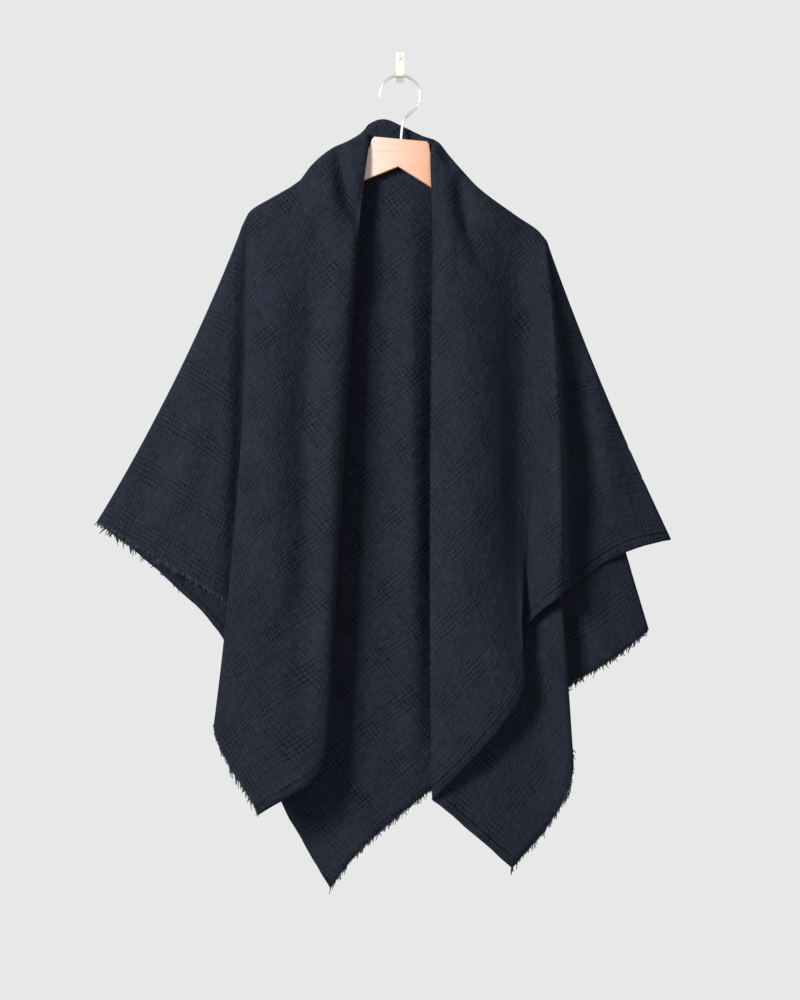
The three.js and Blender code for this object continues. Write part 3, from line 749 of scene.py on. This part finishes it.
wool = {
    "dark": (0.0062, 0.0074, 0.0112, 1),
    "light": (0.0330, 0.0385, 0.0570, 1),
    "repeat": 0.062,       # the check, metres
    "band": 0.42,          # share of it that is striped
    "line": 0.0054,        # from stripe to stripe
    "thread": 0.0031,      # from thread to thread
    "selvedge": 0.010,     # from the edge to its line
    "selvedgeLine": (0.0008, 0.0022),
    "bandEdge": 0.05,
    "lineSharpness": 1.6,
    "drift": (11.0, 0.0075),  # the threads wander: scale of the noise, metres
    "unevenThreads": 170.0,   # noise scale, and how strongly it weighs the weave
    "unevenWeave": (1.6, 0.1),
    "slub": (380, 60),        # thick and thin places, across a thread and along it
    "flecks": 620.0,
    "clouds": 14.0,
    "roughness": (0.95, -0.12),   # plain, and what a fleck takes away
    "side": cloth["side"] * mm,
}
# how much each thing lightens the yarn's tone, from dark 0 to light 1
woolTone = {
    "plain": 0.60,
    "slubs": 0.8,
    "check": -0.24,
    "crossing": -0.16,
    "banded": 0.07,
    "weave": 0.2,
    "selvedge": -0.25,
    "flecks": 0.42,
    "clouds": 0.30,
}
# the cloth's relief, coarse to fine: noise scale, strength, depth in metres
woolRelief = {
    "soft": (26.0, 0.55, 0.006),
    "pucker": (120.0, 0.8, 0.0026),
    "threads": (0.8, 0.0011),
}
# what raises the threads' relief, and how deep the selvedge's line sinks
threadHeights = {"slubs": 0.9, "check": -0.3, "weave": 0.4, "selvedge": 0.5}
# the loose ends: noise scales, then how strongly they lighten and roughen the yarn
yarn = {
    "light": (0.030, 0.034, 0.046, 1),
    "flecks": 900.0,
    "clouds": 160.0,
    "fleckTone": 0.4,
    "relief": (0.4, 0.0002),
}


def woolMaterial():
    material, shader, put, calc = newMaterial("navy_wool")
    shader.inputs["Specular IOR Level"].default_value = 0.05
    shader.inputs["Sheen Weight"].default_value = 0.05
    shader.inputs["Sheen Roughness"].default_value = 0.45
    shader.inputs["Sheen Tint"].default_value = (0.55, 0.65, 1.0, 1)
    link = material.node_tree.links.new

    cut = put("ShaderNodeUVMap", uv_map="cut").outputs["UV"]
    flat = vectorMath(put, "SCALE", cut, wool["side"])
    driftScale, driftReach = wool["drift"]
    drift = put("ShaderNodeTexNoise", {"Vector": flat, "Scale": driftScale, "Detail": 3.0}).outputs["Color"]
    offset = vectorMath(put, "SUBTRACT", drift, (0.5, 0.5, 0.5))
    woven = vectorMath(put, "ADD", flat, vectorMath(put, "SCALE", offset, driftReach))
    parts = put("ShaderNodeSeparateXYZ", {0: woven})
    threadsAt = (parts.outputs["X"], parts.outputs["Y"])

    lines, bands, waves, slubs = [], [], [], []
    across, along = wool["slub"]
    for place, stretch in zip(threadsAt, ((across, along, 0), (along, across, 0))):
        phase = calc("FRACT", calc("DIVIDE", place, wool["repeat"]))
        inBand = calc("MULTIPLY", ramp(put, phase, 0.0, wool["bandEdge"]),
                      ramp(put, phase, wool["band"], wool["band"] + wool["bandEdge"], 1.0, 0.0))
        wave = calc("COSINE", calc("MULTIPLY", place, 2 * math.pi / wool["line"]))
        line = calc("POWER", calc("MULTIPLY_ADD", wave, 0.5, 0.5), wool["lineSharpness"])
        bands.append(inBand)
        lines.append(calc("MULTIPLY", inBand, line))
        waves.append(calc("SINE", calc("MULTIPLY", place, 2 * math.pi / wool["thread"])))
        slub = cloudy(put, vectorMath(put, "MULTIPLY", woven, stretch), 1.0, 2.0, 0.6)
        slubs.append(calc("SUBTRACT", slub, 0.5))
    uneven = calc("MULTIPLY_ADD", cloudy(put, flat, wool["unevenThreads"]), *wool["unevenWeave"])
    weave = calc("MULTIPLY", calc("MULTIPLY", waves[0], waves[1]), uneven)
    check = calc("ADD", lines[0], lines[1])
    crossing = calc("MULTIPLY", lines[0], lines[1])
    banded = calc("SUBTRACT", calc("ADD", bands[0], bands[1]), 1.0)
    slubby = calc("ADD", slubs[0], slubs[1])
    # a thin line runs along each selvedge
    half = wool["side"] / 2
    fromMiddle = calc("ABSOLUTE", calc("SUBTRACT", threadsAt[1], half))
    edge = calc("ABSOLUTE", calc("SUBTRACT", fromMiddle, half - wool["selvedge"]))
    selvedge = ramp(put, edge, *wool["selvedgeLine"], 1.0, 0.0)

    fibre = groupIn(put, fibreTone, flat, fleck=wool["flecks"], cloud=wool["clouds"])
    tone = calc("MULTIPLY_ADD", slubby, woolTone["slubs"], woolTone["plain"])
    shades = {"check": check, "crossing": crossing, "banded": banded, "weave": weave,
              "selvedge": selvedge, "flecks": fibre["Flecks"]}
    for name, shade in shades.items():
        tone = calc("MULTIPLY_ADD", shade, woolTone[name], tone)
    clouds = calc("SUBTRACT", fibre["Clouds"], 0.5)
    tone = calc("MULTIPLY_ADD", clouds, woolTone["clouds"], tone, clamp=True)
    link(blendColors(put, tone, wool["dark"], wool["light"]), shader.inputs["Base Color"])
    plain, fleck = wool["roughness"]
    link(calc("MULTIPLY_ADD", fibre["Flecks"], fleck, plain), shader.inputs["Roughness"])

    rise = None
    for name in ("soft", "pucker"):
        scale, strength, depth = woolRelief[name]
        rise = bumped(put, strength, depth, cloudy(put, woven, scale), rise)
    relief = calc("MULTIPLY", check, threadHeights["check"])
    relief = calc("MULTIPLY_ADD", slubby, threadHeights["slubs"], relief)
    relief = calc("MULTIPLY_ADD", weave, threadHeights["weave"], relief)
    relief = calc("SUBTRACT", relief, calc("MULTIPLY", selvedge, threadHeights["selvedge"]))
    link(bumped(put, *woolRelief["threads"], relief, rise), shader.inputs["Normal"])
    return material


def yarnMaterial():
    material, shader, put, calc = newMaterial("navy_yarn_ends")
    link = material.node_tree.links.new
    place = put("ShaderNodeTexCoord").outputs["Object"]
    fibre = groupIn(put, fibreTone, place, fleck=yarn["flecks"], cloud=yarn["clouds"])
    tone = calc("MULTIPLY_ADD", fibre["Flecks"], yarn["fleckTone"], fibre["Clouds"], clamp=True)
    link(blendColors(put, tone, wool["dark"], yarn["light"]), shader.inputs["Base Color"])
    link(bumped(put, *yarn["relief"], fibre["Clouds"]), shader.inputs["Normal"])
    shader.inputs["Roughness"].default_value = 0.9
    shader.inputs["Sheen Weight"].default_value = 0.2
    return material


stole.data.materials.append(woolMaterial())
fringe.data.materials.append(yarnMaterial())
print("wool woven")


def plainMaterial(name, color, roughness):
    material, shader, _, _ = newMaterial(name)
    shader.inputs["Base Color"].default_value = (*color, 1)
    shader.inputs["Roughness"].default_value = roughness
    return material


def wearGroup():
    # fine scratches and dull patches, for the wood's lacquer and the metals
    tree = bpy.data.node_groups.new("surfaceWear", "ShaderNodeTree")
    tree.interface.new_socket("Vector", in_out="INPUT", socket_type="NodeSocketVector")
    tree.interface.new_socket("Scratch Scale", in_out="INPUT", socket_type="NodeSocketFloat")
    tree.interface.new_socket("Patch Scale", in_out="INPUT", socket_type="NodeSocketFloat")
    tree.interface.new_socket("Scratches", in_out="OUTPUT", socket_type="NodeSocketFloat")
    tree.interface.new_socket("Patches", in_out="OUTPUT", socket_type="NodeSocketFloat")
    put, _ = toolsFor(tree)
    entry = put("NodeGroupInput")
    leave = put("NodeGroupOutput")
    place = entry.outputs["Vector"]
    long = vectorMath(put, "MULTIPLY", place, (1, 1, 0.06))
    scratch = cloudy(put, long, entry.outputs["Scratch Scale"], 3.0, 0.7)
    patch = cloudy(put, place, entry.outputs["Patch Scale"], 3.0)
    tree.links.new(scratch, leave.inputs["Scratches"])
    tree.links.new(ramp(put, patch, 0.4, 0.7), leave.inputs["Patches"])
    return tree


surfaceWear = wearGroup()

wood = {
    "pale": (0.92, 0.69, 0.56, 1),
    "warm": (0.78, 0.35, 0.18, 1),
    "grain": (0.60, 0.30, 0.15, 1),
    "under": (0.40, 0.22, 0.06, 1),   # painted shade on the faces turned downwards, the undersides of the arms
    "from": -0.030,                   # painted light and shade: paler on the left of here, where the light falls fully, darker and warmer on the right of "to", where the cloth's roll shades the wood
    "to": 0.045,
    "tilt": 5,                        # degrees, of the grain
    "stretch": (0.08, 1, 1),
    "rings": 240.0,
    "ringTone": (0.45, 0.7, 0.22),    # from where to where in the noise, and how strongly
    "pores": 1400.0,
    "poreTone": (0.6, 0.8, 0.15),
    "facing": (-0.75, -0.3),          # where the painted underside shade starts and where it is full, as the normal's z
    "scratches": 900.0,
    "patches": 60.0,
    "roughness": (0.12, 0.34),        # what a dull patch adds, and the least
    "relief": (0.25, 0.0004),
}


def woodMaterial():
    material, shader, put, calc = newMaterial("pale_wood")
    link = material.node_tree.links.new
    place = put("ShaderNodeTexCoord").outputs["Object"]
    parts = put("ShaderNodeSeparateXYZ", {0: place})
    stretched = put("ShaderNodeMapping", {"Vector": place, "Rotation": (0, math.radians(wood["tilt"]), 0),
                                          "Scale": wood["stretch"]}).outputs[0]
    rings = put("ShaderNodeTexNoise", {"Vector": stretched, "Scale": wood["rings"], "Detail": 4.0,
                                       "Distortion": 0.6}).outputs["Fac"]
    pores = cloudy(put, stretched, wood["pores"])
    # painted light and shade across the hanger: pale where it is lit on the left, darker and warmer where it
    # is shaded on the right
    across = ramp(put, parts.outputs["X"], wood["from"], wood["to"], soft=False)
    color = blendColors(put, across, wood["pale"], wood["warm"])
    for pattern, key in ((rings, "ringTone"), (pores, "poreTone")):
        low, high, strength = wood[key]
        shown = calc("MULTIPLY", ramp(put, pattern, low, high), strength)
        color = blendColors(put, shown, color, wood["grain"])
    # painted shade: faces turned downwards take the darker underside colour
    facing = put("ShaderNodeSeparateXYZ", {0: put("ShaderNodeNewGeometry").outputs["Normal"]})
    under = ramp(put, facing.outputs["Z"], *wood["facing"], 1.0, 0.0)
    link(blendColors(put, under, color, wood["under"]), shader.inputs["Base Color"])
    wear = groupIn(put, surfaceWear, place, scratch=wood["scratches"], patch=wood["patches"])
    link(calc("MULTIPLY_ADD", wear["Patches"], *wood["roughness"]), shader.inputs["Roughness"])
    height = calc("MULTIPLY_ADD", rings, 0.7, calc("MULTIPLY", wear["Scratches"], 0.3))
    link(bumped(put, *wood["relief"], height), shader.inputs["Normal"])
    shader.inputs["Coat Weight"].default_value = 0.25
    shader.inputs["Coat Roughness"].default_value = 0.25
    return material


# the wear that both metals share
metalWear = {
    "patches": 90.0,
    "dulling": 0.5,
    "patchRoughness": 0.10,
    "scratchRoughness": 0.08,
    "relief": (0.12, 0.0002),
}


def metalMaterial(name, clean, dull, leastRoughness, scratchScale):
    material, shader, put, calc = newMaterial(name)
    link = material.node_tree.links.new
    place = put("ShaderNodeTexCoord").outputs["Object"]
    wear = groupIn(put, surfaceWear, place, scratch=scratchScale, patch=metalWear["patches"])
    dulled = calc("MULTIPLY", wear["Patches"], metalWear["dulling"])
    link(blendColors(put, dulled, clean, dull), shader.inputs["Base Color"])
    roughness = calc("MULTIPLY_ADD", wear["Patches"], metalWear["patchRoughness"], leastRoughness)
    roughness = calc("MULTIPLY_ADD", wear["Scratches"], metalWear["scratchRoughness"], roughness)
    link(roughness, shader.inputs["Roughness"])
    link(bumped(put, *metalWear["relief"], wear["Scratches"]), shader.inputs["Normal"])
    shader.inputs["Metallic"].default_value = 1.0
    return material


# metals: clean and dull colour, least roughness, how fine their scratches are
metals = {
    "pale_brass": ((0.84, 0.71, 0.57, 1), (0.72, 0.55, 0.38, 1), 0.28, 1600.0),
    "chrome_wire": ((0.74, 0.75, 0.77, 1), (0.62, 0.64, 0.68, 1), 0.08, 2200.0),
}
brass = metalMaterial("pale_brass", *metals["pale_brass"])
finishes = {
    "hanger_body": woodMaterial(),
    "hanger_hook": metalMaterial("chrome_wire", *metals["chrome_wire"]),
    "wall_hook": brass,
    "wall_hook_screw": brass,
}
for name, material in finishes.items():
    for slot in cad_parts[name].material_slots:
        slot.material = material
print("hanger and wall hook finished")

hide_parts("front_left_outer", "back_outer", "front_right_outer",
            "front_right_inner", "back_inner", "front_left_inner")


# The studio: a pale floor under the stole, pale surroundings, soft light mainly from the left
studio = {
    "floorZ": -1.36,
    "floorRadius": 0.72,
    "floorColor": (0.8, 0.8, 0.8),
    "background": (0.807, 0.807, 0.807, 1),
    "fill": (0.92, 0.95, 1.0, 1),
    "fillStrength": 0.15,
}
# name, place, what it is turned to, width and height, watts, colour
lights = [
    ("window", (-1.75, -2.35, 0.45), (0, 0, -0.55), (0.8, 0.9), 104, (0.97, 0.985, 1.0)),
    ("fill", (0.9, -3.4, 0.4), (0, 0, -0.6), (1.0, 1.0), 20, (1, 1, 1)),
    ("behind", (-1.2, 2.4, 0.6), (0, 0, -0.6), (1.8, 1.8), 26, (1, 1, 1)),
]


def softLight(name, at, towards, size, power, color):
    data = bpy.data.lights.new(name, "AREA")
    data.shape = "RECTANGLE"
    data.size, data.size_y = size
    data.energy = power
    data.color = color
    lamp = bpy.data.objects.new(name, data)
    lamp.location = at
    lamp.rotation_euler = (Vector(towards) - Vector(at)).to_track_quat("-Z", "Y").to_euler()
    bpy.context.scene.collection.objects.link(lamp)


def makeFloor():
    bm = bmesh.new()
    bmesh.ops.create_circle(bm, cap_ends=True, segments=96, radius=studio["floorRadius"])
    bmesh.ops.translate(bm, verts=bm.verts, vec=(0, -0.05, studio["floorZ"]))
    mesh = bpy.data.meshes.new("floor")
    bm.to_mesh(mesh)
    bm.free()
    floor = bpy.data.objects.new("floor", mesh)
    bpy.context.scene.collection.objects.link(floor)
    mesh.materials.append(plainMaterial("floor", studio["floorColor"], 0.9))


def makeWorld():
    # the camera and mirror-like surfaces see the pale background, the rest gets a weak fill
    world = bpy.data.worlds.new("studio")
    bpy.context.scene.world = world
    world.use_nodes = True
    nodes, links = world.node_tree.nodes, world.node_tree.links
    nodes.clear()
    seen = nodes.new("ShaderNodeBackground")
    seen.inputs["Color"].default_value = studio["background"]
    fill = nodes.new("ShaderNodeBackground")
    fill.inputs["Color"].default_value = studio["fill"]
    fill.inputs["Strength"].default_value = studio["fillStrength"]
    path = nodes.new("ShaderNodeLightPath")
    mix = nodes.new("ShaderNodeMixShader")
    out = nodes.new("ShaderNodeOutputWorld")
    bright = nodes.new("ShaderNodeMath")
    bright.operation = "MAXIMUM"
    links.new(path.outputs["Is Camera Ray"], bright.inputs[0])
    links.new(path.outputs["Is Glossy Ray"], bright.inputs[1])
    links.new(bright.outputs[0], mix.inputs[0])
    links.new(fill.outputs[0], mix.inputs[1])
    links.new(seen.outputs[0], mix.inputs[2])
    links.new(mix.outputs[0], out.inputs["Surface"])


makeFloor()
makeWorld()
for light in lights:
    softLight(*light)
bpy.context.scene.view_settings.view_transform = "Standard"
print("studio made")
